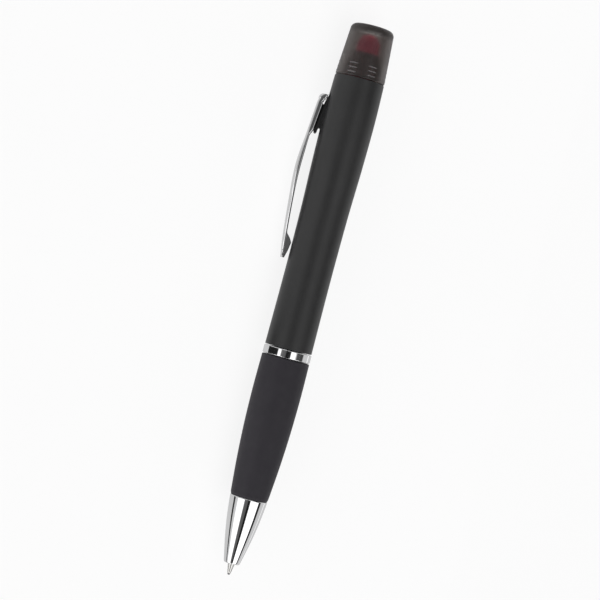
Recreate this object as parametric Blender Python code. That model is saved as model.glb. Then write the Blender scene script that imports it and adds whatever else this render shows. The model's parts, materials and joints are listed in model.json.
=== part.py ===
"""A two-ended pen: a twist-action ballpoint below, an iodine marker under a translucent cap above.

Each piece is drawn in the pen's own frame: +Z runs from the writing ball to the cap, and +X points to the
clip. The empty "pen_axis" then lays the pen on the ground, with the clip's lower corner touching it. In the
world the ballpoint points to +X, the clip to -Y and down, and the origin is on the ground below the middle of
the box.
"""

import math

import bmesh
import bpy
from mathutils import Matrix

# Driving dimensions, in metres. Stations are measured along the pen from the writing ball's tip.
LENGTH = 0.1430
REST_RADIUS = 0.00656
FIT_GAP = 0.0002
ROUND_SIDES = 36
INNER_SIDES = 24
FINE_SIDES = 16

# Stations of the outer shells
NOSE_START = 0.0030
NOSE_END = 0.0201
GRIP_START = 0.0204
GRIP_END = 0.0565
RING_START = 0.0567
RING_END = 0.0588
BARREL_START = 0.0590
BARREL_END = 0.12925
CAP_START = 0.12945

# Outer radii along each shell: (station, radius)
NOSE_CURVE = [(0.0035, 0.00213), (0.0086, 0.00323), (0.0142, 0.00418), (0.0199, 0.00482)]
GRIP_CURVE = [(0.0208, 0.00489), (0.0288, 0.00554), (0.0380, 0.00603), (0.0480, 0.00622), (0.0564, 0.00614)]
BARREL_CURVE = [
    (0.0591, 0.00606),
    (0.0780, 0.00595),
    (0.0950, 0.00608),
    (0.1070, 0.00641),
    (0.1200, REST_RADIUS),
    (0.1291, 0.00637),
]
CAP_CURVE = [(0.1296, 0.00636), (0.1350, 0.00603), (0.1414, 0.00560)]
CAP_EDGE_RADIUS = 0.0015

# Refill
BALL_RADIUS = 0.00035
TIP_RADIUS = 0.00115
TIP_END = 0.0135
ADAPTER_START = 0.0110
SPRING_SHOULDER = 0.0189
ADAPTER_END = 0.0240
TUBE_START = 0.0204
TUBE_RADIUS = 0.0015
TUBE_BORE = 0.00115
REFILL_END = 0.0660

# Return spring, pressed as it is with the refill out
SPRING_START = 0.0087
SPRING_END = 0.0186
SPRING_RADIUS = 0.00193
SPRING_WIRE = 0.00016
SPRING_TURNS = 8
SPRING_STEPS = 14

# Nose cone and core tube
NOSE_HOLE = 0.0013
SPRING_BORE = 0.0023
SPIGOT_RADIUS = 0.0030
SPIGOT_END = 0.0270
CORE_NECK_RADIUS = 0.00395
CORE_RADIUS = 0.0047
CORE_BORE = 0.0032
CORE_END = 0.05855
COUNTERBORE = 0.0039
COUNTERBORE_START = 0.0475

# Twist mechanism: the plunger's lugs climb two ramps as the lower half turns
TWIST_DEG = 150.0
RETRACTION = 0.0052
RAMP_LOW = 0.0617
RAMP_START_DEG = -12.0
RAMP_END_DEG = 162.0
STOP_DROP = 0.0012
LUG_HALF_DEG = 9.0
LUG_START = 0.0594
LUG_GAP = 0.00015
CAM_BORE = 0.0039
CAM_RADIUS = 0.00485
CAM_END = 0.0780
GUIDE_START = 0.0479
GUIDE_BORE = 0.0029
GUIDE_RADIUS = 0.0037
GUIDE_RIM_RADIUS = 0.00455
GUIDE_END = 0.0793
PLUNGER_START = 0.0575
PLUNGER_END = 0.0685
PLUNGER_RADIUS = 0.0027
PLUNGER_BORE = 0.00165
LUG_RADIUS = 0.00455

# Upper barrel's bores, and the marker in the upper one
MECHANISM_BORE = 0.00505
PARTITION_START = 0.0826
PARTITION_END = 0.0842
MARKER_BORE = 0.0051
CARTRIDGE_START = 0.0845
CARTRIDGE_END = 0.1280
CARTRIDGE_RADIUS = 0.00485
CARTRIDGE_BORE = 0.00445
RESERVOIR_START = 0.0858
RESERVOIR_END = 0.1212
RESERVOIR_RADIUS = 0.00395
FILM_BORE = 0.00412
FILM_RADIUS = 0.00427
HOLDER_START = 0.1216
HOLDER_PLUG_RADIUS = 0.00425
COLLAR_START = 0.1283
COLLAR_END = 0.1334
COLLAR_RADIUS = 0.0048
BEAD_HEIGHT = 0.0002
BEAD_STATIONS = (0.1300, 0.1313, 0.1326)
HOLDER_END = 0.1360
HOLDER_NOSE_RADIUS = 0.0036
NIB_RADIUS = 0.0029
NIB_START = 0.1189
NIB_SHOULDER = 0.1378
NIB_END = 0.1410
CAP_BORE = 0.00515
CAP_ROOF = 0.1415

# Clip: a channel of sheet steel, bent over at its top, with a pressed foot near its tip
CLIP_SHEET = 0.00045
CLIP_CORNER = 0.00035
CLIP_TIP = 0.0806
CLIP_HEAD = 0.1235
CLIP_CROWN = 0.01025
CLIP_HALF_WIDTH = 0.0022
CLIP_OUTER = [
    (CLIP_TIP, 0.00783),
    (0.0850, 0.00858),
    (0.0960, 0.00967),
    (0.1047, CLIP_CROWN),
    (0.1134, 0.00955),
    (CLIP_HEAD, 0.00880),
]
CLIP_EDGE = [(CLIP_TIP, 0.00735), (0.0870, 0.00783), (0.0960, 0.00851), (0.1030, 0.00884), (0.1130, 0.00866)]
CLIP_WIDTH = [
    (CLIP_TIP, 0.00110),
    (0.0820, 0.00175),
    (0.0870, 0.00190),
    (0.1047, CLIP_HALF_WIDTH),
    (CLIP_HEAD, 0.00210),
]
FOOT_START = 0.0810
FOOT_APEX = 0.0851
FOOT_END = 0.0872
FOOT_RADIUS = 0.00618
WALL_EDGE = [(0.1136, 0.00810), (0.1222, 0.00728)]
RELIEF_START = 0.1211
RELIEF_END = 0.1217
RELIEF_DEPTH = 0.00022
BRACKET_EDGE = [(0.1223, 0.00702), (CLIP_HEAD, 0.00662)]
HEAD_DROP = [(0.1223, 0.0), (0.1229, 0.00005), (0.1233, 0.00035), (CLIP_HEAD, 0.00085)]
TAB_HALF_WIDTH = 0.0012
TAB_START = 0.1225
TAB_END = 0.1231
TAB_DEPTH = 0.0056

# Boss that the clip sits on, moulded with the upper barrel: outlines (distance from the axis, station)
BOSS_ROOT = 0.0060
BOSS_HALF_WIDTH = 0.0019
BOSS_OUTLINE = [
    (BOSS_ROOT, 0.12445),
    (0.00610, 0.12445),
    (0.00688, 0.12205),
    (0.00710, 0.12095),
    (0.00796, 0.11375),
    (0.00785, 0.11345),
    (0.00762, 0.11335),
    (0.00738, 0.11350),
    (0.00726, 0.11390),
    (0.00720, 0.11460),
    (0.00704, 0.11488),
    (0.00682, 0.11490),
    (0.00662, 0.11475),
    (BOSS_ROOT, 0.11460),
]
TONGUE_HALF_WIDTH = 0.0014
TONGUE_OUTLINE = [(0.0069, 0.1209), (0.0076, 0.1209), (0.00835, 0.1143), (0.0081, 0.1139), (0.0075, 0.1142)]

# How the pen lies: the clip's side corner, at its crown, meets the ground that the barrel lies on
CORNER_REACH = CLIP_CROWN - CLIP_CORNER
CLIP_DROP = math.asin(REST_RADIUS / math.hypot(CORNER_REACH, CLIP_HALF_WIDTH)) - math.atan2(
    CLIP_HALF_WIDTH, CORNER_REACH
)
CLIP_SPREAD = CLIP_CROWN * math.cos(CLIP_DROP) + (CLIP_HALF_WIDTH - CLIP_CORNER) * math.sin(CLIP_DROP)
AXIS_Y = (CLIP_SPREAD - REST_RADIUS) / 2


def clear_scene():
    for item in list(bpy.data.objects):
        bpy.data.objects.remove(item, do_unlink=True)


def material(name, colour, roughness, metallic=0.0, alpha=1.0):
    made = bpy.data.materials.new(name)
    made.use_nodes = True
    surface = made.node_tree.nodes["Principled BSDF"]
    surface.inputs["Base Color"].default_value = (*colour, 1.0)
    surface.inputs["Roughness"].default_value = roughness
    surface.inputs["Metallic"].default_value = metallic
    surface.inputs["Alpha"].default_value = alpha
    return made


def make_materials():
    return {
        "black_plastic": material("black_plastic", (0.032, 0.032, 0.034), 0.35),
        "chrome": material("chrome", (0.80, 0.80, 0.82), 0.06, metallic=1.0),
        "soft_rubber": material("soft_rubber", (0.046, 0.043, 0.050), 0.65),
        "smoke_plastic": material("smoke_plastic", (0.085, 0.075, 0.072), 0.12, alpha=0.45),
        "dark_plastic": material("dark_plastic", (0.030, 0.028, 0.030), 0.40),
        "grey_plastic": material("grey_plastic", (0.30, 0.30, 0.31), 0.45),
        "white_plastic": material("white_plastic", (0.75, 0.75, 0.73), 0.40),
        "clear_film": material("clear_film", (0.80, 0.80, 0.78), 0.25),
        "ink_fibre": material("ink_fibre", (0.25, 0.06, 0.03), 0.90),
        "ink_felt": material("ink_felt", (0.17, 0.02, 0.03), 0.85),
        "refill_tube": material("refill_tube", (0.06, 0.07, 0.16), 0.30),
        "nickel_silver": material("nickel_silver", (0.62, 0.60, 0.56), 0.22, metallic=1.0),
        "tungsten_carbide": material("tungsten_carbide", (0.20, 0.20, 0.21), 0.15, metallic=1.0),
        "spring_steel": material("spring_steel", (0.55, 0.55, 0.56), 0.25, metallic=1.0),
    }


def curve_points(knots, per_span=3):
    """Points on a smooth curve through the knots (station, value), with slopes taken from the neighbours."""
    slopes = []
    for i in range(len(knots)):
        before = knots[max(i - 1, 0)]
        after = knots[min(i + 1, len(knots) - 1)]
        slopes.append((after[1] - before[1]) / (after[0] - before[0]))
    points = []
    for i in range(len(knots) - 1):
        (start, low), (end, high) = knots[i], knots[i + 1]
        span = end - start
        for step in range(per_span):
            t = step / per_span
            value = (
                low * (2 * t**3 - 3 * t**2 + 1)
                + high * (3 * t**2 - 2 * t**3)
                + slopes[i] * span * (t**3 - 2 * t**2 + t)
                + slopes[i + 1] * span * (t**3 - t**2)
            )
            points.append((start + span * t, value))
    points.append(knots[-1])
    return points


def curve_value(knots, station, per_span=12):
    """The curve's value at one station, held level past either end."""
    points = curve_points(knots, per_span)
    if station <= points[0][0]:
        return points[0][1]
    for before, after in zip(points, points[1:]):
        if station <= after[0]:
            part = (station - before[0]) / (after[0] - before[0])
            return before[1] + (after[1] - before[1]) * part
    return points[-1][1]


def outline(knots, per_span=2):
    """The same curve as outline points (radius, station)."""
    return [(radius, station) for station, radius in curve_points(knots, per_span)]


def arc(radius_centre, station_centre, radius, start_deg, end_deg, steps):
    """Points (radius, station) on an arc; 0 degrees points away from the axis, 90 towards the cap."""
    points = []
    for step in range(steps + 1):
        angle = math.radians(start_deg + (end_deg - start_deg) * step / steps)
        points.append((radius_centre + radius * math.cos(angle), station_centre + radius * math.sin(angle)))
    return points


def add_object(name, bm, finish, axis):
    """Link the mesh as one object on the pen's axis, smooth-shaded between its sharp edges."""
    bmesh.ops.recalc_face_normals(bm, faces=bm.faces)
    mesh = bpy.data.meshes.new(name)
    bm.to_mesh(mesh)
    bm.free()
    mesh.shade_smooth()
    mesh.set_sharp_from_angle(angle=math.radians(35))
    mesh.materials.append(finish)
    made = bpy.data.objects.new(name, mesh)
    bpy.context.collection.objects.link(made)
    made.parent = axis
    return made


def turned(name, points, finish, axis, sides=INNER_SIDES):
    """A turned piece: solid where its outline starts and ends on the axis, and otherwise a closed ring."""
    bm = bmesh.new()
    verts = [bm.verts.new((radius, 0.0, station)) for radius, station in points]
    edges = [bm.edges.new(pair) for pair in zip(verts, verts[1:])]
    if points[0][0] > 0 or points[-1][0] > 0:
        edges.append(bm.edges.new((verts[-1], verts[0])))
    bmesh.ops.spin(
        bm,
        geom=verts + edges,
        cent=(0, 0, 0),
        axis=(0, 0, 1),
        angle=2 * math.pi,
        steps=sides,
        use_merge=True,
    )
    bmesh.ops.remove_doubles(bm, verts=bm.verts, dist=1e-7)
    return add_object(name, bm, finish, axis)


def bridged(name, sections, finish, axis):
    """A solid through matching cross-sections, closed by a flat face at each end."""
    bm = bmesh.new()
    rings = [[bm.verts.new(point) for point in section] for section in sections]
    for ring, following in zip(rings, rings[1:]):
        for i in range(len(ring)):
            j = (i + 1) % len(ring)
            bm.faces.new((ring[i], ring[j], following[j], following[i]))
    bm.faces.new(rings[0])
    bm.faces.new(rings[-1])
    return add_object(name, bm, finish, axis)


def plate(name, profile, half_width, finish, axis):
    """An outline (distance from the axis, station) carried straight across the clip's plane."""
    sections = [[(x, y, z) for x, z in profile] for y in (-half_width, half_width)]
    return bridged(name, sections, finish, axis)


def block(name, x_range, half_width, z_range, finish, axis):
    """A straight block, symmetric across the clip's plane."""
    (near, far), (low, high) = x_range, z_range
    return plate(name, [(near, low), (far, low), (far, high), (near, high)], half_width, finish, axis)


def sector(name, radii, centre_deg, half_deg, low, high_at, finish, axis, steps=4):
    """A block between two radii, whose top follows high_at(angle from the centre, in degrees)."""
    sections = []
    for step in range(steps + 1):
        offset = half_deg * (2 * step / steps - 1)
        angle = math.radians(centre_deg + offset)
        inner = (radii[0] * math.cos(angle), radii[0] * math.sin(angle))
        outer = (radii[1] * math.cos(angle), radii[1] * math.sin(angle))
        top = high_at(offset)
        sections.append([(*inner, low), (*outer, low), (*outer, top), (*inner, top)])
    return bridged(name, sections, finish, axis)


def combine(base, helper, operation):
    """Join or cut the base with a helper, which stays in the file as a hidden guide."""
    helper.hide_render = True
    helper.display_type = "WIRE"
    step = base.modifiers.new(helper.name, "BOOLEAN")
    step.operation = operation
    step.solver = "EXACT"
    step.object = helper


def ramp_station(offset_deg):
    """Where the ramp's face is, that many degrees round from where the lug's middle rests."""
    return RAMP_LOW + RETRACTION * (offset_deg - RAMP_START_DEG) / TWIST_DEG


# Shells of the lower half


def make_nose_cone(finishes, axis):
    points = [(NOSE_HOLE, NOSE_START), (0.00185, NOSE_START), (0.00203, NOSE_START + 0.0002)]
    points += outline(NOSE_CURVE)
    points += [
        (0.0047, NOSE_END),
        (SPIGOT_RADIUS, NOSE_END),
        (SPIGOT_RADIUS, SPIGOT_END),
        (SPRING_BORE, SPIGOT_END),
        (SPRING_BORE, SPRING_START - FIT_GAP),
        (NOSE_HOLE, SPRING_START - 2 * FIT_GAP),
    ]
    turned("nose_cone", points, finishes["chrome"], axis, ROUND_SIDES)


def make_grip_sleeve(finishes, axis):
    points = [(CORE_NECK_RADIUS + FIT_GAP, GRIP_START), (0.0045, GRIP_START)]
    points += arc(0.0045, GRIP_START + 0.0004, 0.0004, -60, -20, 2)
    points += outline(GRIP_CURVE)
    points += [(0.0060, GRIP_END), (CORE_RADIUS + FIT_GAP, GRIP_END)]
    points += [(CORE_RADIUS + FIT_GAP, 0.0330), (CORE_NECK_RADIUS + FIT_GAP, 0.0270)]
    turned("grip_sleeve", points, finishes["soft_rubber"], axis, ROUND_SIDES)


def make_lower_barrel(finishes, axis):
    points = [
        (CORE_BORE, GRIP_START),
        (CORE_NECK_RADIUS, GRIP_START),
        (CORE_NECK_RADIUS, 0.0270),
        (CORE_RADIUS, 0.0330),
        (CORE_RADIUS, CORE_END),
        (COUNTERBORE, CORE_END),
        (COUNTERBORE, COUNTERBORE_START),
        (CORE_BORE, COUNTERBORE_START),
    ]
    turned("lower_barrel", points, finishes["grey_plastic"], axis, ROUND_SIDES)


def make_center_ring(finishes, axis):
    bore = CORE_RADIUS + FIT_GAP
    points = [
        (bore, RING_START),
        (0.00600, RING_START),
        (0.00615, RING_START + 0.00015),
        (0.00615, RING_END - 0.00015),
        (0.00600, RING_END),
        (bore, RING_END),
    ]
    turned("center_ring", points, finishes["chrome"], axis, ROUND_SIDES)


# Refill and its spring


def make_refill_ball(finishes, axis):
    points = arc(0.0, BALL_RADIUS, BALL_RADIUS, -90, 90, 8)
    points[0] = (0.0, 0.0)
    points[-1] = (0.0, 2 * BALL_RADIUS)
    turned("refill_ball", points, finishes["tungsten_carbide"], axis, FINE_SIDES)


def make_refill_tip(finishes, axis):
    socket = BALL_RADIUS + 0.00005
    points = [
        (socket, 0.00045),
        (socket + 0.00004, 0.00045),
        (0.00090, NOSE_START),
        (TIP_RADIUS, 0.0043),
        (TIP_RADIUS, TIP_END),
        (0.00025, TIP_END),
        (0.00025, 0.0010),
        (socket, 0.00078),
    ]
    turned("refill_tip", points, finishes["nickel_silver"], axis, INNER_SIDES)


def make_refill_adapter(finishes, axis):
    points = [
        (TIP_RADIUS + 0.00015, ADAPTER_START),
        (TUBE_RADIUS, ADAPTER_START),
        (TUBE_RADIUS, SPRING_SHOULDER),
        (0.0021, SPRING_SHOULDER),
        (0.0021, SPRING_SHOULDER + 0.0012),
        (0.0010, SPRING_SHOULDER + 0.0012),
        (0.0010, ADAPTER_END),
        (0.0005, ADAPTER_END),
        (0.0005, TIP_END + FIT_GAP),
        (TIP_RADIUS + 0.00015, TIP_END + FIT_GAP),
    ]
    turned("refill_adapter", points, finishes["white_plastic"], axis)


def make_refill_tube(finishes, axis):
    points = [
        (TUBE_BORE, TUBE_START),
        (TUBE_RADIUS, TUBE_START),
        (TUBE_RADIUS, REFILL_END),
        (TUBE_BORE, REFILL_END),
    ]
    turned("refill_tube", points, finishes["refill_tube"], axis)


def make_return_spring(finishes, axis):
    curve = bpy.data.curves.new("return_spring", "CURVE")
    curve.dimensions = "3D"
    curve.bevel_depth = SPRING_WIRE
    curve.bevel_resolution = 1
    curve.use_fill_caps = True
    count = SPRING_TURNS * SPRING_STEPS + 1
    path = curve.splines.new("POLY")
    path.points.add(count - 1)
    for i in range(count):
        part = i / (count - 1)
        angle = 2 * math.pi * SPRING_TURNS * part
        station = SPRING_START + SPRING_WIRE + (SPRING_END - SPRING_START - 2 * SPRING_WIRE) * part
        path.points[i].co = (SPRING_RADIUS * math.cos(angle), SPRING_RADIUS * math.sin(angle), station, 1.0)
    curve.materials.append(finishes["spring_steel"])
    made = bpy.data.objects.new("return_spring", curve)
    bpy.context.collection.objects.link(made)
    made.parent = axis


# Twist mechanism


def make_plunger(finishes, axis):
    points = [
        (0.0, REFILL_END + 0.0006),
        (PLUNGER_BORE, REFILL_END + 0.0006),
        (PLUNGER_BORE, PLUNGER_START),
        (PLUNGER_RADIUS, PLUNGER_START),
        (PLUNGER_RADIUS, PLUNGER_END - 0.0003),
        (PLUNGER_RADIUS - 0.0003, PLUNGER_END),
        (0.0, PLUNGER_END),
    ]
    plunger = turned("plunger", points, finishes["white_plastic"], axis)
    for index in range(2):
        lug = sector(
            f"lug_{index + 1}",
            (PLUNGER_BORE + 0.0004, LUG_RADIUS),
            180.0 * index,
            LUG_HALF_DEG,
            LUG_START,
            lambda offset: ramp_station(offset) - LUG_GAP,
            finishes["white_plastic"],
            axis,
        )
        combine(plunger, lug, "UNION")


def make_guide_tube(finishes, axis):
    points = [
        (GUIDE_BORE, GUIDE_START),
        (GUIDE_RADIUS, GUIDE_START),
        (GUIDE_RADIUS, CAM_END + FIT_GAP),
        (GUIDE_RIM_RADIUS, CAM_END + FIT_GAP),
        (GUIDE_RIM_RADIUS, GUIDE_END),
        (GUIDE_BORE, GUIDE_END),
    ]
    guide = turned("guide_tube", points, finishes["grey_plastic"], axis, 32)
    slot_half = LUG_HALF_DEG + math.degrees(FIT_GAP / GUIDE_BORE)
    slot_end = ramp_station(LUG_HALF_DEG) + RETRACTION + FIT_GAP
    for index in range(2):
        slot = sector(
            f"guide_slot_{index + 1}",
            (GUIDE_BORE - 0.0005, GUIDE_RADIUS + 0.0005),
            180.0 * index,
            slot_half,
            LUG_START - FIT_GAP,
            lambda offset: slot_end,
            finishes["grey_plastic"],
            axis,
            steps=2,
        )
        combine(guide, slot, "DIFFERENCE")


def make_cam_sleeve(finishes, axis):
    """Two helical ramps, each ending at a stop that the lugs meet at either end of the twist."""
    stop_wall = 0.5
    steps = 12
    columns = []
    for turn in (0.0, 180.0):
        stop_start = RAMP_END_DEG - 180.0
        columns.append((turn + stop_start + stop_wall, RAMP_LOW - STOP_DROP))
        columns.append((turn + RAMP_START_DEG - stop_wall, RAMP_LOW - STOP_DROP))
        for step in range(steps + 1):
            angle = RAMP_START_DEG + (RAMP_END_DEG - RAMP_START_DEG) * step / steps
            columns.append((turn + angle, ramp_station(angle)))
    bm = bmesh.new()
    rings = []
    for angle_deg, low in columns:
        angle = math.radians(angle_deg)
        inner = (CAM_BORE * math.cos(angle), CAM_BORE * math.sin(angle))
        outer = (CAM_RADIUS * math.cos(angle), CAM_RADIUS * math.sin(angle))
        corners = [(*inner, low), (*outer, low), (*outer, CAM_END), (*inner, CAM_END)]
        rings.append([bm.verts.new(corner) for corner in corners])
    for ring, following in zip(rings, rings[1:] + rings[:1]):
        for i in range(4):
            j = (i + 1) % 4
            bm.faces.new((ring[i], ring[j], following[j], following[i]))
    add_object("cam_sleeve", bm, finishes["grey_plastic"], axis)


# Upper barrel, clip and marker


def make_upper_barrel(finishes, axis):
    points = [
        (0.0, PARTITION_START),
        (MECHANISM_BORE, PARTITION_START),
        (MECHANISM_BORE, BARREL_START),
        (0.00595, BARREL_START),
    ]
    points += outline(BARREL_CURVE, 3)
    points += [
        (0.00625, BARREL_END),
        (MARKER_BORE, BARREL_END),
        (MARKER_BORE, PARTITION_END),
        (0.0, PARTITION_END),
    ]
    barrel = turned("upper_barrel", points, finishes["black_plastic"], axis, ROUND_SIDES)
    plastic = finishes["black_plastic"]
    boss = plate("boss", BOSS_OUTLINE, BOSS_HALF_WIDTH, plastic, axis)
    tongue = plate("boss_tongue", TONGUE_OUTLINE, TONGUE_HALF_WIDTH, plastic, axis)
    slot = block(
        "clip_slot",
        (TAB_DEPTH - FIT_GAP, REST_RADIUS + 0.001),
        TAB_HALF_WIDTH + 0.0003,
        (TAB_START - 0.0003, TAB_END + 0.0003),
        plastic,
        axis,
    )
    combine(barrel, boss, "UNION")
    combine(barrel, tongue, "UNION")
    combine(barrel, slot, "DIFFERENCE")


def clip_section(station, edge, ceiling, drop=0.0):
    """The channel's cross-section: two rolled edges below a web whose underside is the ceiling."""
    outer = curve_value(CLIP_OUTER, station) - drop
    half = curve_value(CLIP_WIDTH, station)
    wall = half - CLIP_SHEET
    right = [
        (edge, half, station),
        (outer - CLIP_CORNER, half, station),
        (outer, half - CLIP_CORNER, station),
    ]
    left = [(x, -y, z) for x, y, z in reversed(right)]
    inside = [
        (edge, -wall, station),
        (ceiling, -wall, station),
        (ceiling, wall, station),
        (edge, wall, station),
    ]
    return right + left + inside


def make_clip(finishes, axis):
    sections = []
    foot = [
        (CLIP_TIP, 0.00745),
        (FOOT_START, 0.00700),
        (0.0830, 0.00650),
        (FOOT_APEX, FOOT_RADIUS),
        (0.0862, 0.00680),
        (FOOT_END, 0.00770),
    ]
    for station, ceiling in foot:
        sections.append(clip_section(station, curve_value(CLIP_EDGE, station), ceiling))
    blade_steps = 12
    blade_start = FOOT_END + 0.0006
    blade_end = CLIP_EDGE[-1][0]
    for step in range(blade_steps + 1):
        station = blade_start + (blade_end - blade_start) * step / blade_steps
        ceiling = curve_value(CLIP_OUTER, station) - CLIP_SHEET
        sections.append(clip_section(station, curve_value(CLIP_EDGE, station), ceiling))
    step_length = 0.00005
    walls = [
        (WALL_EDGE[0][0], 0.0),
        (0.1175, 0.0),
        (RELIEF_START, 0.0),
        (RELIEF_START + step_length, RELIEF_DEPTH),
        (RELIEF_END - step_length, RELIEF_DEPTH),
        (RELIEF_END, 0.0),
        (WALL_EDGE[-1][0], 0.0),
    ]
    for station, relief in walls:
        ceiling = curve_value(CLIP_OUTER, station) - CLIP_SHEET
        sections.append(clip_section(station, curve_value(WALL_EDGE, station) + relief, ceiling))
    for station, drop in HEAD_DROP:
        edge = curve_value(BRACKET_EDGE, station)
        sections.append(clip_section(station, edge, edge + 0.0001, drop))
    clip = bridged("clip", sections, finishes["chrome"], axis)
    tab = block(
        "clip_tab",
        (TAB_DEPTH, BRACKET_EDGE[0][1] + 0.0006),
        TAB_HALF_WIDTH,
        (TAB_START, TAB_END),
        finishes["chrome"],
        axis,
    )
    combine(clip, tab, "UNION")


def make_marker_tube(finishes, axis):
    floor = CARTRIDGE_START + 0.0009
    points = [
        (0.0, CARTRIDGE_START),
        (CARTRIDGE_RADIUS, CARTRIDGE_START),
        (CARTRIDGE_RADIUS, CARTRIDGE_END),
        (CARTRIDGE_BORE, CARTRIDGE_END),
        (CARTRIDGE_BORE, floor),
        (0.0, floor),
    ]
    turned("marker_tube", points, finishes["white_plastic"], axis, 32)


def make_reservoir(finishes, axis):
    pocket = NIB_RADIUS + FIT_GAP
    points = [
        (0.0, RESERVOIR_START),
        (RESERVOIR_RADIUS, RESERVOIR_START),
        (RESERVOIR_RADIUS, RESERVOIR_END),
        (pocket, RESERVOIR_END),
        (pocket, NIB_START - FIT_GAP),
        (0.0, NIB_START - FIT_GAP),
    ]
    turned("marker_reservoir", points, finishes["ink_fibre"], axis)
    film = [
        (FILM_BORE, RESERVOIR_START),
        (FILM_RADIUS, RESERVOIR_START),
        (FILM_RADIUS, RESERVOIR_END),
        (FILM_BORE, RESERVOIR_END),
    ]
    turned("reservoir_sleeve", film, finishes["clear_film"], axis, 32)


def make_nib_holder(finishes, axis):
    bore = NIB_RADIUS + FIT_GAP
    points = [
        (bore, HOLDER_START),
        (HOLDER_PLUG_RADIUS, HOLDER_START),
        (HOLDER_PLUG_RADIUS, COLLAR_START),
        (COLLAR_RADIUS, COLLAR_START),
    ]
    for station in BEAD_STATIONS:
        points += arc(COLLAR_RADIUS, station, BEAD_HEIGHT, -90, 90, 2)
    points += [
        (COLLAR_RADIUS, COLLAR_END - 0.0003),
        (COLLAR_RADIUS - 0.0003, COLLAR_END),
        (HOLDER_NOSE_RADIUS + 0.0005, COLLAR_END + 0.0002),
        (HOLDER_NOSE_RADIUS, HOLDER_END),
        (bore, HOLDER_END),
    ]
    turned("nib_holder", points, finishes["dark_plastic"], axis)


def make_marker_nib(finishes, axis):
    points = [(0.0, NIB_START), (NIB_RADIUS, NIB_START), (NIB_RADIUS, NIB_SHOULDER)]
    dome = NIB_END - NIB_SHOULDER
    for step in range(1, 5):
        angle = math.radians(90 * step / 5)
        points.append((NIB_RADIUS * math.cos(angle), NIB_SHOULDER + dome * math.sin(angle)))
    points.append((0.0, NIB_END))
    turned("marker_nib", points, finishes["ink_felt"], axis)


def make_cap(finishes, axis):
    points = [(CAP_BORE, CAP_START), (0.00625, CAP_START)]
    points += outline(CAP_CURVE)
    edge_centre = CAP_CURVE[-1][1] - CAP_EDGE_RADIUS
    points += arc(edge_centre, LENGTH - CAP_EDGE_RADIUS, CAP_EDGE_RADIUS, 12, 90, 5)
    points += [
        (0.0, LENGTH),
        (0.0, CAP_ROOF),
        (0.0035, CAP_ROOF),
        (0.0043, CAP_ROOF - 0.0008),
        (0.0048, 0.1355),
        (CAP_BORE, 0.1345),
    ]
    turned("cap", points, finishes["smoke_plastic"], axis, ROUND_SIDES)


def main():
    clear_scene()
    axis = bpy.data.objects.new("pen_axis", None)
    bpy.context.collection.objects.link(axis)
    lay_down = Matrix.Rotation(math.radians(-90), 4, "Y")
    face_clip = Matrix.Rotation(math.radians(90) + CLIP_DROP, 4, "X")
    place = Matrix.Translation((LENGTH / 2, AXIS_Y, REST_RADIUS))
    axis.matrix_world = place @ face_clip @ lay_down
    finishes = make_materials()
    makers = (
        make_nose_cone,
        make_grip_sleeve,
        make_lower_barrel,
        make_center_ring,
        make_refill_ball,
        make_refill_tip,
        make_refill_adapter,
        make_refill_tube,
        make_return_spring,
        make_plunger,
        make_guide_tube,
        make_cam_sleeve,
        make_upper_barrel,
        make_clip,
        make_marker_tube,
        make_reservoir,
        make_nib_holder,
        make_marker_nib,
        make_cap,
    )
    for make in makers:
        make(finishes, axis)


main()
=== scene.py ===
"""Looks for the two-ended counterfeit detector pen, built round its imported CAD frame.

Turned pieces are turned again from the CAD nodes' own outlines, with finer steps and rounded edges. The
clip, its boss and the spring are built anew in the space that their CAD nodes hold. Everything is drawn in
the pen's own frame: +Z from the writing ball to the cap, +X towards the clip, +Y towards the camera.
"""

import json
import math

import bmesh
import bpy
from mathutils import Matrix, Vector


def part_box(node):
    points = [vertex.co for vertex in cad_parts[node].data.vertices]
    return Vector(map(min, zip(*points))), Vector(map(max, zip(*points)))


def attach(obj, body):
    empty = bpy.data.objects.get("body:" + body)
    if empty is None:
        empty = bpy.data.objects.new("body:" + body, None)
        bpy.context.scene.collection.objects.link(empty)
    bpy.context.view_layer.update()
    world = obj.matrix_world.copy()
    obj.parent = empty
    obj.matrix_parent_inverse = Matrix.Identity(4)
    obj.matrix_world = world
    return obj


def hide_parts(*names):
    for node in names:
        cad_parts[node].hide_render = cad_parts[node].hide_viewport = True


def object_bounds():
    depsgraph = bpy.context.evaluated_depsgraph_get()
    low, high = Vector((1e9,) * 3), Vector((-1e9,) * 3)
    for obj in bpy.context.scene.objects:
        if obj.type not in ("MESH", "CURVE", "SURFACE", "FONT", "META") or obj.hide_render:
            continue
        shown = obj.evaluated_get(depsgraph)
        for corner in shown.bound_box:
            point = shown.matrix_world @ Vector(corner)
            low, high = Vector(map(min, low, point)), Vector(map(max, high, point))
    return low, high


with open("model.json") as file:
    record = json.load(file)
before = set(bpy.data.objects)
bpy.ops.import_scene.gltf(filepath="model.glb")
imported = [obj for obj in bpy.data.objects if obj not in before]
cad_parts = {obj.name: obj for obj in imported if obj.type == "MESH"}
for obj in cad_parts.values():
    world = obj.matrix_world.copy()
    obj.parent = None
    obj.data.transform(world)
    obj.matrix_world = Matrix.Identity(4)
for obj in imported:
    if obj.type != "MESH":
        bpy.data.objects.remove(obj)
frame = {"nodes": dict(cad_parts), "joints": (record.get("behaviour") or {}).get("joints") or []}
CAD_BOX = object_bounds()
MM = 0.001

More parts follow.
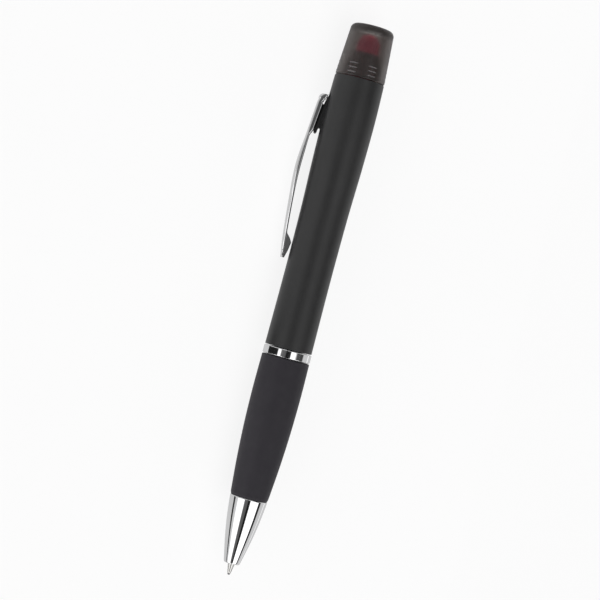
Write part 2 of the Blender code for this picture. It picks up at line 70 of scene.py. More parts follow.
JOINTS = {joint["name"]: joint for joint in frame["joints"]}
ALONG = Vector(JOINTS["barrel_twist"]["axis"]).normalized()
TOWARDS_CAMERA = -Vector(JOINTS["clip_flex"]["axis"]).normalized()
TO_CLIP = TOWARDS_CAMERA.cross(ALONG)
TIP = Vector(JOINTS["barrel_twist"]["pos_m"])
TIP.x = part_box("refill_ball")[1].x
PEN = Matrix((TO_CLIP, TOWARDS_CAMERA, ALONG)).transposed().to_4x4()
PEN.translation = TIP

# The camera looks along the clip's hinge, with the pen's tip down and its cap leaning to the right
CAMERA_DISTANCE = 0.580
CAMERA_SPAN = 0.1515
SENSOR = 36.0
PEN_TILT_DEG = 14.85
AIM_STATION = 0.0717
AIM_ASIDE = 0.00031

# Fineness of the turned pieces, and the bend above which an outline's point is a corner
TURNED_SIDES = 128
MARKER_SIDES = 96
SMALL_SIDES = 64
CORNER_DEG = 17.0

# The clip: stations and sizes along the pen, in metres
SHEET = 0.45 * MM
FOOT_END = 88.0 * MM
SQUARE_START = 92.0 * MM
SQUARE_LENGTH = 20.0 * MM
WALL_START = 113.5 * MM
BLADE_END = 121.0 * MM
RELIEF_MIDDLE = 121.4 * MM
RELIEF_HALF = 0.3 * MM
BRACKET_START = 122.2 * MM
BEND_DROP = 0.9 * MM
TIP_ROUNDING = 1.6 * MM
SOFT_CORNER = 1.05 * MM
SQUARE_CORNER = 0.45 * MM
HEAD_CORNER = 0.90 * MM

# The cap's grip bars: three rows in each of six groups, which stand in three pairs
BAR_ROWS = (130.35 * MM, 131.50 * MM, 132.65 * MM)
BAR_SPREAD_DEG = 24.0
BAR_HALF_DEG = 11.5
BAR_HEIGHT = 0.07 * MM
BAR_HALF_WIDTH = 0.15 * MM

# The world's brightest softbox
BRIGHTEST = 1.6


# Materials


class Finish:
    """One Principled material, with helpers that add procedural detail in the object's own coordinates."""

    def __init__(self, name):
        self.material = bpy.data.materials.new(name)
        self.material.use_nodes = True
        self.nodes = self.material.node_tree.nodes
        self.links = self.material.node_tree.links
        self.shader = self.nodes["Principled BSDF"]
        self.place = self.nodes.new("ShaderNodeTexCoord").outputs["Object"]

    def set(self, **values):
        for label, value in values.items():
            self.shader.inputs[label.replace("_", " ")].default_value = value
        return self

    def stretched(self, scale):
        """Coordinates scaled along X, Y and Z, for grain that runs one way."""
        mapping = self.nodes.new("ShaderNodeMapping")
        mapping.inputs["Scale"].default_value = scale
        self.links.new(self.place, mapping.inputs["Vector"])
        return mapping.outputs["Vector"]

    def noise(self, scale, detail=3.0, stretch=(1.0, 1.0, 1.0)):
        texture = self.nodes.new("ShaderNodeTexNoise")
        texture.inputs["Scale"].default_value = scale
        texture.inputs["Detail"].default_value = detail
        self.links.new(self.stretched(stretch), texture.inputs["Vector"])
        return texture.outputs["Fac"]

    def rings(self, spacing):
        """Turning marks: bands across the pen's axis."""
        texture = self.nodes.new("ShaderNodeTexWave")
        texture.bands_direction = "X"
        texture.inputs["Scale"].default_value = 1.0 / spacing / 3.2
        self.links.new(self.place, texture.inputs["Vector"])
        return texture.outputs["Fac"]

    def tint(self, factor, low, high, start=0.3, end=0.7):
        ramp = self.nodes.new("ShaderNodeValToRGB")
        ramp.color_ramp.elements[0].position = start
        ramp.color_ramp.elements[0].color = (*low, 1.0)
        ramp.color_ramp.elements[1].position = end
        ramp.color_ramp.elements[1].color = (*high, 1.0)
        self.links.new(factor, ramp.inputs["Fac"])
        self.links.new(ramp.outputs["Color"], self.shader.inputs["Base Color"])
        return self

    def gloss(self, factor, low, high):
        span = self.nodes.new("ShaderNodeMapRange")
        span.inputs["From Min"].default_value = 0.25
        span.inputs["From Max"].default_value = 0.75
        span.inputs["To Min"].default_value = low
        span.inputs["To Max"].default_value = high
        self.links.new(factor, span.inputs["Value"])
        self.links.new(span.outputs["Result"], self.shader.inputs["Roughness"])
        return self

    def bump(self, factor, height):
        bump = self.nodes.new("ShaderNodeBump")
        bump.inputs["Distance"].default_value = height
        self.links.new(factor, bump.inputs["Height"])
        earlier = self.shader.inputs["Normal"].links
        if earlier:
            self.links.new(earlier[0].from_socket, bump.inputs["Normal"])
        self.links.new(bump.outputs["Normal"], self.shader.inputs["Normal"])
        return self


def moulded(name, low, high, gloss, specular=0.5):
    """Injection-moulded plastic: a faint mottle, an uneven gloss and a fine orange peel."""
    made = Finish(name).set(Specular_IOR_Level=specular)
    made.tint(made.noise(180.0), low, high)
    made.gloss(made.noise(420.0, 4.0), *gloss)
    made.bump(made.noise(900.0, 2.0), 0.004 * MM)
    return made.material


def plated(name, low, high, gloss):
    """Polished plating over a moulded or pressed base: near-mirror, with faint handling haze."""
    made = Finish(name).set(Metallic=1.0)
    made.tint(made.noise(140.0, 4.0), low, high)
    made.gloss(made.noise(300.0, 5.0), *gloss)
    return made.material


def machined(name, low, high, gloss, spacing, depth):
    """Turned metal with fine rings across the axis."""
    made = Finish(name).set(Metallic=1.0)
    made.tint(made.noise(900.0, 3.0), low, high)
    made.gloss(made.noise(1500.0, 3.0), *gloss)
    made.bump(made.rings(spacing), depth)
    return made.material


def soft_touch(name):
    """The grip's rubber: matt and very finely grained, with a soft bloom at grazing angles."""
    made = Finish(name).set(Specular_IOR_Level=0.32, Sheen_Weight=0.03, Sheen_Roughness=0.45)
    made.tint(made.noise(260.0, 4.0), (0.0305, 0.0275, 0.0345), (0.0345, 0.0312, 0.0385))
    made.gloss(made.noise(700.0, 4.0), 0.56, 0.68)
    made.bump(made.noise(5200.0, 2.0), 0.012 * MM)
    made.bump(made.noise(900.0, 3.0), 0.010 * MM)
    return made.material


def smoke(name):
    """Translucent smoke plastic: a satin surface over a body that absorbs, so thick places look darker."""
    made = Finish(name).set(Transmission_Weight=0.93, IOR=1.36, Specular_IOR_Level=0.35)
    made.tint(made.noise(120.0), (0.37, 0.35, 0.335), (0.40, 0.38, 0.365))
    made.gloss(made.noise(260.0, 3.0), 0.30, 0.36)
    made.bump(made.noise(700.0, 2.0), 0.003 * MM)
    body = made.nodes.new("ShaderNodeVolumeAbsorption")
    body.inputs["Color"].default_value = (0.41, 0.36, 0.36, 1.0)
    body.inputs["Density"].default_value = 460.0
    made.links.new(body.outputs["Volume"], made.nodes["Material Output"].inputs["Volume"])
    return made.material


def felt(name, low, high, glow=0.0, glow_colour=(1.0, 1.0, 1.0, 1.0)):
    """Pressed fibre that runs along the pen, soaked unevenly. A glow makes up for the cap's shade."""
    made = Finish(name).set(Specular_IOR_Level=0.25, Sheen_Weight=0.15)
    made.set(Emission_Strength=glow, Emission_Color=glow_colour)
    made.tint(made.noise(1040.0, 4.0, (0.15, 1.0, 1.0)), low, high, 0.35, 0.65)
    made.gloss(made.noise(2600.0, 3.0), 0.75, 0.95)
    made.bump(made.noise(2600.0, 4.0, (0.12, 1.0, 1.0)), 0.05 * MM)
    return made.material


def pale_floor(name):
    """A lit white table: it glows evenly, so that the pen throws only a faint shadow on it."""
    made = Finish(name).set(Specular_IOR_Level=0.1)
    made.set(Emission_Strength=0.86, Emission_Color=(1.0, 1.0, 1.0, 1.0))
    made.tint(made.noise(14.0, 4.0), (0.175, 0.175, 0.176), (0.185, 0.185, 0.185))
    made.gloss(made.noise(30.0), 0.75, 0.85)
    return made.material


def all_finishes():
    """The pen's finishes by name, each made from its tone range, its gloss range and what else it needs."""
    plastics = {
        # The boss's finish is the barrel's black plastic made darker and duller: painted shade where the clip
        # overhangs it
        "boss_plastic": ((0.006, 0.006, 0.0065), (0.008, 0.008, 0.0085), (0.44, 0.52), 0.22),
        "black_plastic": ((0.0265, 0.0265, 0.0270), (0.0295, 0.0295, 0.0300), (0.36, 0.44), 0.42),
        # The cap bars' finish: opaque and lighter than the cap's smoke plastic, a painted highlight that
        # makes them show as light arcs; their gloss is real
        "smoke_bars": ((0.120, 0.110, 0.112), (0.150, 0.138, 0.140), (0.22, 0.30), 0.6),
        "dark_plastic": ((0.200, 0.024, 0.042), (0.230, 0.030, 0.052), (0.30, 0.42)),
        "grey_plastic": ((0.26, 0.26, 0.27), (0.32, 0.32, 0.33), (0.38, 0.50)),
        "white_plastic": ((0.70, 0.70, 0.68), (0.78, 0.78, 0.76), (0.35, 0.48)),
        "clear_film": ((0.74, 0.74, 0.71), (0.82, 0.82, 0.80), (0.18, 0.30)),
        "refill_tube": ((0.05, 0.06, 0.14), (0.07, 0.08, 0.19), (0.16, 0.26)),
    }
    platings = {
        "chrome": ((0.86, 0.86, 0.87), (0.90, 0.90, 0.905), (0.035, 0.075)),
        "spring_steel": ((0.50, 0.50, 0.52), (0.60, 0.60, 0.61), (0.20, 0.30)),
    }
    turned_metals = {
        "nickel_silver": ((0.66, 0.65, 0.63), (0.74, 0.73, 0.71), (0.14, 0.26), 0.05 * MM, 0.004 * MM),
        "tungsten_carbide": ((0.18, 0.18, 0.19), (0.24, 0.24, 0.25), (0.10, 0.20), 0.02 * MM, 0.001 * MM),
    }
    felts = {
        "ink_fibre": ((0.16, 0.040, 0.020), (0.30, 0.080, 0.035)),
        "ink_felt": ((0.66, 0.020, 0.065), (0.88, 0.045, 0.105), 0.17, (1.0, 0.03, 0.20, 1.0)),
    }
    made = {"soft_rubber": soft_touch("soft_rubber"), "smoke_plastic": smoke("smoke_plastic")}
    for maker, family in ((moulded, plastics), (plated, platings), (machined, turned_metals), (felt, felts)):
        for name, values in family.items():
            made[name] = maker(name, *values)
    return made


FINISHES = all_finishes()


# Reading the CAD, and turning it again


def pen_points(node):
    """A CAD node's vertices in the pen's frame, by index."""
    to_pen = PEN.inverted()
    return [to_pen @ vertex.co for vertex in frame["nodes"][node].data.vertices]


def cad_outline(node, side_deg=0.0):
    """A turned CAD node's outline, as (radius, station) points in order, and whether it closes on itself."""
    to_side = Matrix.Rotation(-math.radians(side_deg), 3, "Z")
    kept = {}
    for index, point in enumerate(pen_points(node)):
        turned_point = to_side @ point
        if abs(turned_point.y) < 2e-6 and turned_point.x > -2e-6:
            kept[index] = (round(max(turned_point.x, 0.0), 6), round(turned_point.z, 6))
    links = {}
    for polygon in frame["nodes"][node].data.polygons:
        for first, second in polygon.edge_keys:
            if first in kept and second in kept and kept[first] != kept[second]:
                links.setdefault(kept[first], set()).add(kept[second])
                links.setdefault(kept[second], set()).add(kept[first])
    ends = sorted(point for point, joined in links.items() if len(joined) == 1)
    here = ends[0] if ends else min(links, key=lambda point: (point[1], point[0]))
    path = [here]
    while True:
        onward = [point for point in sorted(links[here]) if point not in path]
        if not onward:
            break
        here = onward[0]
        path.append(here)
    return path, not ends


def turn_angle(before, here, after):
    first = Vector(here) - Vector(before)
    second = Vector(after) - Vector(here)
    return math.degrees(first.angle(second)) if first.length > 0 and second.length > 0 else 0.0


def smoothed(path, closed, fillet, steps=3):
    """The outline with its long curves drawn finer and its corners rounded by the fillet."""
    count = len(path)
    vectors = [Vector(point) for point in path]

    def at(index):
        return vectors[index % count] if closed else vectors[min(max(index, 0), count - 1)]

    corners = []
    for index in range(count):
        inside = closed or 0 < index < count - 1
        corners.append(inside and turn_angle(at(index - 1), at(index), at(index + 1)) > CORNER_DEG)
    made = []
    for index in range(count):
        here = at(index)
        if corners[index]:
            back = at(index - 1) - here
            ahead = at(index + 1) - here
            reach = min(fillet, 0.4 * back.length, 0.4 * ahead.length)
            first = here + back.normalized() * reach
            last = here + ahead.normalized() * reach
            if back.length > 6 * reach:
                made.append(first + back.normalized() * reach)
            for step in range(5):
                t = step / 4
                made.append(first * (1 - t) ** 2 + here * 2 * t * (1 - t) + last * t**2)
            if ahead.length > 6 * reach:
                made.append(last + ahead.normalized() * reach)
        else:
            made.append(here.copy())
        if not closed and index == count - 1:
            break
        start_flat = corners[index] or (not closed and index == 0)
        end_flat = corners[(index + 1) % count] or (not closed and index + 1 == count - 1)
        if start_flat and end_flat:
            continue
        p1, p2 = at(index), at(index + 1)
        p0 = p1 * 2 - p2 if start_flat else at(index - 1)
        p3 = p2 * 2 - p1 if end_flat else at(index + 2)
        for step in range(1, steps):
            t = step / steps
            slope_in = (p2 - p0) * ((p2 - p1).length / max((p2 - p0).length, 1e-9))
            slope_out = (p3 - p1) * ((p2 - p1).length / max((p3 - p1).length, 1e-9))
            made.append(
                p1 * (2 * t**3 - 3 * t**2 + 1)
                + slope_in * (t**3 - 2 * t**2 + t)
                + p2 * (3 * t**2 - 2 * t**3)
                + slope_out * (t**3 - t**2)
            )
    return [(max(point.x, 0.0), point.y) for point in made]


def finished(name, bm, finish, body, replaced=(), sharp_deg=40.0):
    """Turn the mesh into a piece that rides on a CAD body and stands for the CAD nodes named."""
    bmesh.ops.remove_doubles(bm, verts=bm.verts, dist=1e-7)
    bmesh.ops.recalc_face_normals(bm, faces=bm.faces)
    bm.transform(PEN)
    mesh = bpy.data.meshes.new(name)
    bm.to_mesh(mesh)
    bm.free()
    mesh.shade_smooth()
    mesh.set_sharp_from_angle(angle=math.radians(sharp_deg))
    mesh.materials.append(FINISHES[finish])
    piece = bpy.data.objects.new(name, mesh)
    bpy.context.scene.collection.objects.link(piece)
    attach(piece, body)
    if replaced:
        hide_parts(*replaced)


def turned_mesh(points, closed, sides):
    bm = bmesh.new()
    verts = [bm.verts.new((radius, 0.0, station)) for radius, station in points]
    edges = [bm.edges.new(pair) for pair in zip(verts, verts[1:])]
    if closed:
        edges.append(bm.edges.new((verts[-1], verts[0])))
    bmesh.ops.spin(
        bm,
        geom=verts + edges,
        cent=(0, 0, 0),
        axis=(0, 0, 1),
        angle=2 * math.pi,
        steps=sides,
        use_merge=True,
    )
    return bm


def turned_again(node, finish, body, fillet, sides=TURNED_SIDES, side_deg=0.0, steps=3, skirt=0.0):
    """The same outline turned finely. A skirt lowers the piece's lower rim, to close the seam below it."""
    path, closed = cad_outline(node, side_deg)
    rim = min(station for _, station in path) + 0.1 * MM
    path = [(radius, station - skirt if station < rim else station) for radius, station in path]
    points = smoothed(path, closed, fillet, steps)
    finished(node + "_shell", turned_mesh(points, closed, sides), finish, body, [node])


def bridge(bm, sections):
    """A closed body through sections that have the same number of points."""
    rings = [[bm.verts.new(point) for point in section] for section in sections]
    for ring, following in zip(rings, rings[1:]):
        for index in range(len(ring)):
            other = (index + 1) % len(ring)
            bm.faces.new((ring[index], ring[other], following[other], following[index]))
    bm.faces.new(rings[0])
    bm.faces.new(rings[-1])


def bridged_mesh(sections):
    bm = bmesh.new()
    bridge(bm, sections)
    return bm


# The clip


def clip_stations():
    """The CAD clip's whole sections, tip to head: (station, outer radius, edge, half width, lowest point)."""
    groups = []
    for point in sorted(pen_points("clip"), key=lambda point: point.z):
        if not groups or point.z - groups[-1][0].z > 0.02 * MM:
            groups.append([])
        groups[-1].append(point)
    stations = []
    for points in groups:
        outer = max(point.x for point in points)
        half = max(point.y for point in points)
        corners = {(round(point.x / MM, 2), round(point.y / MM, 2)) for point in points}
        if len(corners) < 10 or outer < 7.5 * MM:
            continue
        edge = min(point.x for point in points if point.y > half - 0.02 * MM)
        stations.append((points[0].z, outer, edge, half, min(point.x for point in points)))
    return stations


def at_station(stations, station, column):
    """One column of the sections, read between stations on a straight line."""
    if station <= stations[0][0]:
        return stations[0][column]
    for before, after in zip(stations, stations[1:]):
        if station <= after[0]:
            part = (station - before[0]) / max(after[0] - before[0], 1e-9)
            return before[column] + (after[column] - before[column]) * part
    return stations[-1][column]


def eased(stations, station, column, reach=1.2 * MM):
    """The same, averaged over a short reach, so that the blade's long curve shows no kinks."""
    samples = [at_station(stations, station + reach * step / 4, column) for step in range(-4, 5)]
    return sum(samples) / len(samples)


def channel_section(station, outer, edge, half, corner, sheet, crown, floor=None):
    """Rolled sheet: a crowned web, round shoulders and two edges. A floor fills the channel up to it."""
    points = []
    for step in range(5):
        angle = math.pi * step / 4
        points.append((edge + sheet / 2 * (1 - math.sin(angle)), half - sheet / 2 * (1 + math.cos(angle))))
    shoulder = outer - crown - corner
    points.append((points[-1][0] + 0.08 * (shoulder - points[-1][0]), half))
    points.append((shoulder - 0.08 * (shoulder - points[4][0]), half))
    for step in range(9):
        angle = math.pi / 2 * step / 8
        points.append((outer - crown - corner * (1 - math.sin(angle)), half - corner * (1 - math.cos(angle))))
    for step in range(1, 8):
        across = (half - corner) * (1 - 2 * step / 8)
        points.append((outer - crown * (across / (half - corner)) ** 2, across))
    points += [(x, -y) for x, y in reversed(points[:16])]
    inner_corner = max(corner - sheet, 0.05 * MM)
    inner_half = half - sheet
    inner_top = outer - sheet
    inside = []
    for step in range(9):
        angle = math.pi / 2 * step / 8
        x = inner_top - crown - inner_corner * (1 - math.sin(angle))
        inside.append((x, -(inner_half - inner_corner * (1 - math.cos(angle)))))
    inside += [(x, -y) for x, y in reversed(inside)]
    if floor is not None:
        inside = [(min(x, floor), y) for x, y in inside]
    points += inside
    return [(x, y, station) for x, y in points]


def wall_edge(station):
    """The lower edge of the clip's side walls at its head, with the small relief beside the bend."""
    edge = 8.10 * MM - 0.82 * MM * (station - 113.6 * MM) / (8.6 * MM)
    relief = 1.0 - ((station - RELIEF_MIDDLE) / RELIEF_HALF) ** 2
    return edge + 0.24 * MM * math.sqrt(max(relief, 0.0))


def share(value, start, length):
    """How far a value has come along a stretch, from 0 to 1."""
    return min(max((value - start) / length, 0.0), 1.0)


def blade_section(stations, station):
    """The blade at a station: soft shoulders at the foot, squarer ones towards the head, a rounded tip."""
    from_tip = min((station - stations[0][0]) / TIP_ROUNDING, 1.0)
    half = at_station(stations, station, 3)
    half *= 0.35 + 0.65 * math.sqrt(max(1 - (1 - from_tip) ** 2, 0.0))
    outer = eased(stations, station, 1)
    head_share = share(station, WALL_START - 1.0 * MM, 1.6 * MM)
    head_share = head_share * head_share * (3 - 2 * head_share)
    edge = eased(stations, min(station, WALL_START - 1.4 * MM), 2)
    edge += (wall_edge(station) - edge) * head_share
    corner = SOFT_CORNER - 0.60 * MM * share(station, SQUARE_START, SQUARE_LENGTH)
    corner = min(corner, half * 0.6, outer - edge - SHEET * 0.6)
    crown = (0.16 - 0.10 * head_share) * MM
    return channel_section(station, outer, edge, half, corner, min(SHEET, half * 0.45), crown)


def head_sections(stations):
    """The clip's head, bent down through a quarter turn to the boss."""
    head = stations[-1][0]
    sections = []
    for step in range(9):
        angle = math.pi / 2 * step / 8
        station = BRACKET_START + 0.1 * MM + (head - BRACKET_START - 0.1 * MM) * math.sin(angle)
        outer = at_station(stations, BRACKET_START, 1) - BEND_DROP * (1 - math.cos(angle))
        half = at_station(stations, station, 3)
        edge = (7.02 - 0.40 * (station - BRACKET_START) / (head - BRACKET_START)) * MM
        corner = SQUARE_CORNER + (HEAD_CORNER - SQUARE_CORNER) * min(step / 4, 1.0)
        floor = edge + 0.1 * MM
        sections.append(channel_section(station, outer, edge, half, corner, SHEET, 0.05 * MM, floor))
    return sections


def make_clip():
    stations = clip_stations()
    tip = stations[0][0]
    count = 76
    along = [tip + (BLADE_END - tip) * step / count for step in range(count + 1)]
    along += [RELIEF_MIDDLE + RELIEF_HALF * step / 6 for step in (-6, -5, -3, -1, 1, 3, 5, 6)]
    along += [121.95 * MM, BRACKET_START]
    sections = [blade_section(stations, station) for station in along] + head_sections(stations)
    finished("clip_blade", bridged_mesh(sections), "chrome", "clip", ["clip"], 50.0)
    make_foot(stations)
    low = min(point.x for point in pen_points("clip"))
    corners = ((low, -1.2 * MM), (7.2 * MM, -1.2 * MM), (7.2 * MM, 1.2 * MM), (low, 1.2 * MM))
    tab = [[(x, y, z) for x, y in corners] for z in (122.5 * MM, 123.1 * MM)]
    finished("clip_tab", bridged_mesh(tab), "chrome", "clip")


def make_foot(stations):
    """The pressed foot under the blade's tip: a wedge whose ridge touches the barrel."""
    sections = []
    for station, outer, _, half, low in stations:
        if station > FOOT_END:
            break
        top = outer - 0.5 * MM
        half = min(1.25 * MM, half - 0.06 * MM)
        low = min(low, top - 0.1 * MM)
        soft = min(0.16 * MM, (top - low) * 0.5)
        section = [(top, half), (low + soft, half), (low + soft * 0.3, half - soft * 0.3), (low, half - soft)]
        section += [(x, -y) for x, y in reversed(section)]
        sections.append([(x, y, station) for x, y in section])
    finished("clip_foot", bridged_mesh(sections), "chrome", "clip", sharp_deg=12.0)


# The barrel's boss


BOSS_OUTLINE = [
    (5.80, 124.45),
    (6.10, 124.45),
    (6.88, 122.05),
    (7.10, 120.95),
    (7.96, 113.75),
    (7.85, 113.45),
    (7.62, 113.35),
    (7.38, 113.50),
    (7.26, 113.90),
    (7.20, 114.60),
    (7.04, 114.88),
    (6.82, 114.90),
    (6.62, 114.75),
    (5.80, 114.60),
]
TONGUE_OUTLINE = [(6.90, 120.9), (7.60, 120.9), (8.35, 114.3), (8.10, 113.9), (7.50, 114.2)]


def make_boss():
    """The moulded boss under the clip's head: a wedge that flares into the barrel, with a hook and tongue."""
    outline = [(x * MM, z * MM) for x, z in BOSS_OUTLINE]
    outline = smoothed(outline, True, 0.10 * MM, 3)
    sections = []
    flare = [(-1.9, 0.10), (-1.8, 0.03), (-1.72, 0.0), (1.72, 0.0), (1.8, 0.03), (1.9, 0.10)]
    for across, inset in flare:
        section = []
        for x, z in outline:
            root = min(max((6.75 * MM - x) / (0.95 * MM), 0.0), 1.0)
            spread = across * MM * (1.0 + 0.30 * root * root)
            section.append((x - inset * MM * (1 - root), spread, z))
        sections.append(section)
    boss = bridged_mesh(sections)
    # The boss and its tongue take the darker copy of the barrel's plastic: painted shade under the clip
    finished("clip_boss", boss, "boss_plastic", "upper", sharp_deg=60.0)
    tongue = smoothed([(x * MM, z * MM) for x, z in TONGUE_OUTLINE], True, 0.15 * MM, 3)
    sections = [[(x, across * MM, z) for x, z in tongue] for across in (-1.4, 1.4)]
    tongue_mesh = bridged_mesh(sections)
    finished("clip_boss_tongue", tongue_mesh, "boss_plastic", "upper")


# The return spring


def make_spring():
    """A wound spring with closed end coils, in the space that the CAD's spring takes up."""
    points = pen_points("return_spring")
    low = min(point.z for point in points)
    high = max(point.z for point in points)
    reach = max(math.hypot(point.x, point.y) for point in points)
    wire = 0.16 * MM
    turns = 9.0
    closed_turns = 1.1
    steps = int(turns * 36)
    sides = 10
    pitch_closed = 2.05 * wire
    open_rise = (high - low - 2 * wire - 2 * closed_turns * pitch_closed) / (turns - 2 * closed_turns)
    rings = []
    for index in range(steps + 1):
        turn = turns * index / steps
        rise = min(turn, closed_turns) * pitch_closed
        rise += min(max(turn - closed_turns, 0.0), turns - 2 * closed_turns) * open_rise
        rise += max(turn - (turns - closed_turns), 0.0) * pitch_closed
        angle = 2 * math.pi * turn
        outward = Vector((math.cos(angle), math.sin(angle), 0.0))
        centre = outward * (reach - wire) + Vector((0.0, 0.0, low + wire + rise))
        ring = []
        for side in range(sides):
            round_wire = 2 * math.pi * side / sides
            spoke = outward * math.cos(round_wire) + Vector((0, 0, math.sin(round_wire)))
            ring.append(centre + spoke * wire)
        rings.append(ring)
    finished("return_spring_coil", bridged_mesh(rings), "spring_steel", "lower", ["return_spring"])


# Everything turned


def make_turned_pieces():
    turned_again("nose_cone", "chrome", "lower", 0.10 * MM, steps=6)
    turned_again("grip_sleeve", "soft_rubber", "lower", 0.20 * MM, steps=6, skirt=0.28 * MM)
    turned_again("center_ring", "chrome", "lower", 0.04 * MM)
    turned_again("upper_barrel", "black_plastic", "upper", 0.10 * MM, side_deg=180.0, steps=6)
    turned_again("cap", "smoke_plastic", "cap", 0.12 * MM, steps=6)
    turned_again("nib_holder", "dark_plastic", "upper", 0.06 * MM, sides=MARKER_SIDES)
    turned_again("marker_nib", "ink_felt", "upper", 0.10 * MM, sides=MARKER_SIDES, steps=4)
    turned_again("refill_tip", "nickel_silver", "refill", 0.02 * MM, sides=SMALL_SIDES)
    turned_again("refill_ball", "tungsten_carbide", "ball", 0.0, sides=SMALL_SIDES, steps=4)
    turned_again("refill_adapter", "white_plastic", "refill", 0.05 * MM, sides=SMALL_SIDES)
    turned_again("refill_tube", "refill_tube", "refill", 0.05 * MM, sides=SMALL_SIDES)
    turned_again("lower_barrel", "grey_plastic", "lower", 0.08 * MM, sides=SMALL_SIDES)
    turned_again("marker_tube", "white_plastic", "upper", 0.08 * MM, sides=SMALL_SIDES)
    turned_again("marker_reservoir", "ink_fibre", "upper", 0.15 * MM, sides=SMALL_SIDES)
    turned_again("reservoir_sleeve", "clear_film", "upper", 0.03 * MM, sides=SMALL_SIDES)


def add_bar(bm, reach, station, middle_deg):
    """One bar: a low half-round ridge along an arc of the cap, fading out at both ends."""
    sections = []
    for step in range(13):
        along = 2 * step / 12 - 1
        angle = math.radians(middle_deg + BAR_HALF_DEG * along)
        size = math.sqrt(max(1 - along**4, 0.02))
        section = []
        for side in range(8):
            bulge = math.pi * (side / 7)
            radius = reach + BAR_HEIGHT * size * math.sin(bulge) - 0.01 * MM
            across = BAR_HALF_WIDTH * size * math.cos(bulge)
            section.append((radius * math.cos(angle), radius * math.sin(angle), station - across))
        sections.append(section)
    bridge(bm, sections)


def make_cap_bars():
    """Groups of three short grip bars, moulded round the cap's skirt."""
    path = smoothed(*cad_outline("cap"), 0.05 * MM, 6)
    for row, station in enumerate(BAR_ROWS):
        near = [radius for radius, at in path if abs(at - station) < 0.8 * MM and radius > 5.6 * MM]
        bm = bmesh.new()
        for pair in range(3):
            for side in (-1, 1):
                add_bar(bm, sum(near) / len(near), station, 90.0 + 120.0 * pair + BAR_SPREAD_DEG * side)
        # The bars take the lighter opaque finish: a painted highlight on the cap's smoke plastic
        finished("cap_bars_%d" % (row + 1), bm, "smoke_bars", "cap")


def dress_mechanism():
    """The mechanism's own CAD nodes keep their shape and get their finish."""
    plastics = {"plunger": "white_plastic", "guide_tube": "grey_plastic", "cam_sleeve": "grey_plastic"}
    for node, finish in plastics.items():
        for slot in frame["nodes"][node].material_slots:
            slot.link = "OBJECT"
            slot.material = FINISHES[finish]


# Stage: floor, light and camera


def studio_object(name, bm, material):
    """A mesh that belongs to the studio and not to the pen."""
    mesh = bpy.data.meshes.new(name)
    bm.to_mesh(mesh)
    bm.free()
    mesh.materials.append(material)
    thing = bpy.data.objects.new(name, mesh)
    bpy.context.scene.collection.objects.link(thing)
    return thing


def make_floor():
    bm = bmesh.new()
    bmesh.ops.create_grid(bm, x_segments=8, y_segments=8, size=3.0)
    floor = studio_object("studio_floor", bm, pale_floor("studio_floor"))
    floor.location = (0, 0, CAD_BOX[0].z - 0.00002)


# The studio's brightness by direction round the pen, in degrees from the camera, positive away from the
# clip. Towards the tip it is two wide softboxes, square to the pen two narrow ones, and towards the cap an
# even glow with a dark slit where the camera stands.
WIDE_BOXES = [
    (-180.0, 1.40),
    (-22.0, 1.40),
    (-19.0, 0.12),
    (1.0, 0.10),
    (3.0, 0.012),
    (16.0, 0.012),
    (19.0, 1.50),
    (69.0, 1.50),
    (72.0, 0.020),
    (86.0, 0.020),
    (89.0, 0.62),
    (180.0, 0.62),
]
NARROW_BOXES = [
    (-180.0, 0.70),
    (-56.0, 0.70),
    (-50.0, 0.03),
    (-46.0, 0.06),
    (-41.0, 1.60),
    (-33.0, 1.60),
    (-27.0, 0.14),
    (-7.0, 0.10),
    (-3.0, 0.012),
    (17.0, 0.012),
    (22.0, 1.60),
    (38.0, 1.60),
    (50.0, 0.09),
    (82.0, 0.05),
    (88.0, 0.62),
    (180.0, 0.62),
]
EVEN_GLOW = [
    (-180.0, 0.55),
    (-45.0, 0.50),
    (-30.0, 0.36),
    (-6.0, 0.46),
    (-4.5, 0.09),
    (2.5, 0.09),
    (4.0, 0.46),
    (12.0, 0.40),
    (24.0, 0.50),
    (48.0, 0.50),
    (56.0, 0.03),
    (86.0, 0.02),
    (91.0, 0.62),
    (180.0, 0.62),
]


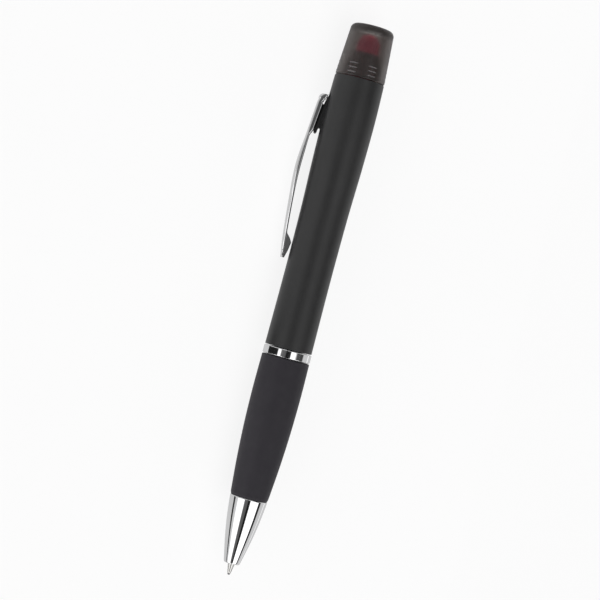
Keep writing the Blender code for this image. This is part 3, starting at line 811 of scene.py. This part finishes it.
def make_studio():
    """Softboxes either side of the camera, with a dark gap where it stands, as a sky round the pen."""
    world = bpy.data.worlds.new("studio")
    bpy.context.scene.world = world
    world.use_nodes = True
    nodes, links = world.node_tree.nodes, world.node_tree.links
    direction = nodes.new("ShaderNodeTexCoord").outputs["Generated"]

    def share_along(axis):
        dot = nodes.new("ShaderNodeVectorMath")
        dot.operation = "DOT_PRODUCT"
        dot.inputs[1].default_value = axis
        links.new(direction, dot.inputs[0])
        return dot.outputs["Value"]

    def spread(value, low, high):
        span = nodes.new("ShaderNodeMapRange")
        span.inputs["From Min"].default_value = low
        span.inputs["From Max"].default_value = high
        links.new(value, span.inputs["Value"])
        return span.outputs["Result"]

    def boxes(levels, turn):
        ramp = nodes.new("ShaderNodeValToRGB")
        elements = ramp.color_ramp.elements
        for index, (degrees, level) in enumerate(levels):
            position = (degrees + 180) / 360
            element = elements[index] if index < 2 else elements.new(position)
            element.position = position
            element.color = (level / BRIGHTEST, level / BRIGHTEST, level / BRIGHTEST, 1.0)
        links.new(turn, ramp.inputs["Fac"])
        return ramp.outputs["Color"]

    angle = nodes.new("ShaderNodeMath")
    angle.operation = "ARCTAN2"
    links.new(share_along(-TO_CLIP), angle.inputs[0])
    links.new(share_along(TOWARDS_CAMERA), angle.inputs[1])
    turn = spread(angle.outputs[0], -math.pi, math.pi)

    def mixed(factor, first, second):
        mix = nodes.new("ShaderNodeMix")
        mix.data_type = "RGBA"
        links.new(factor, mix.inputs["Factor"])
        links.new(first, mix.inputs[6])
        links.new(second, mix.inputs[7])
        return mix.outputs[2]

    towards_cap = share_along(ALONG)
    narrow = boxes(NARROW_BOXES, turn)
    middle = mixed(spread(towards_cap, -0.004, 0.010), narrow, boxes(EVEN_GLOW, turn))
    whole = mixed(spread(towards_cap, -0.055, -0.080), middle, boxes(WIDE_BOXES, turn))
    background = nodes["Background"]
    links.new(whole, background.inputs["Color"])
    background.inputs["Strength"].default_value = BRIGHTEST


def make_card(name, outline_mm, near_station, far_station, glow):
    """A card on the clip side that only shows in reflections: (distance from the axis, height) in mm."""
    card = Finish(name).set(Specular_IOR_Level=0.0)
    card.set(Emission_Strength=glow, Emission_Color=(1.0, 1.0, 1.0, 1.0))
    card.tint(card.noise(40.0), (0.004, 0.004, 0.004), (0.006, 0.006, 0.006))
    bm = bmesh.new()
    rows = []
    for station in (near_station, far_station):
        x = TIP.x - station * MM
        places = [(x, TIP.y - across * MM, CAD_BOX[0].z + height * MM) for across, height in outline_mm]
        rows.append([bm.verts.new(place) for place in places])
    for index in range(len(outline_mm) - 1):
        bm.faces.new((rows[0][index], rows[0][index + 1], rows[1][index + 1], rows[1][index]))
    flag = studio_object(name, bm, card.material)
    flag.visible_camera = False
    flag.visible_diffuse = False
    flag.visible_transmission = False
    flag.visible_shadow = False


def make_camera():
    data = bpy.data.cameras.new("camera")
    data.sensor_width = SENSOR
    data.lens = SENSOR * CAMERA_DISTANCE / CAMERA_SPAN
    data.clip_start = 0.01
    camera = bpy.data.objects.new("camera", data)
    bpy.context.scene.collection.objects.link(camera)
    tilt = math.radians(PEN_TILT_DEG)
    right = ALONG * math.sin(tilt) - TO_CLIP * math.cos(tilt)
    up = ALONG * math.cos(tilt) + TO_CLIP * math.sin(tilt)
    place = Matrix((right, up, TOWARDS_CAMERA)).transposed().to_4x4()
    aim = TIP + ALONG * AIM_STATION + TO_CLIP * AIM_ASIDE
    place.translation = aim + TOWARDS_CAMERA * CAMERA_DISTANCE
    camera.matrix_world = place
    bpy.context.scene.camera = camera


make_turned_pieces()
make_clip()
make_boss()
make_spring()
make_cap_bars()
dress_mechanism()
make_floor()
make_studio()
make_card("ring_flag", [(14.7, 0.4), (80.0, 0.4), (80.0, 29.0)], 50.0, 64.0, 0.012)
make_card("cone_flag", [(14.0, 0.4), (23.0, 0.4)], -14.0, 22.0, 0.03)
make_card("grey_underlay", [(-70.0, 0.1), (90.0, 0.1)], -40.0, 190.0, 0.62)
make_camera()
bpy.context.scene.view_settings.view_transform = "Standard"
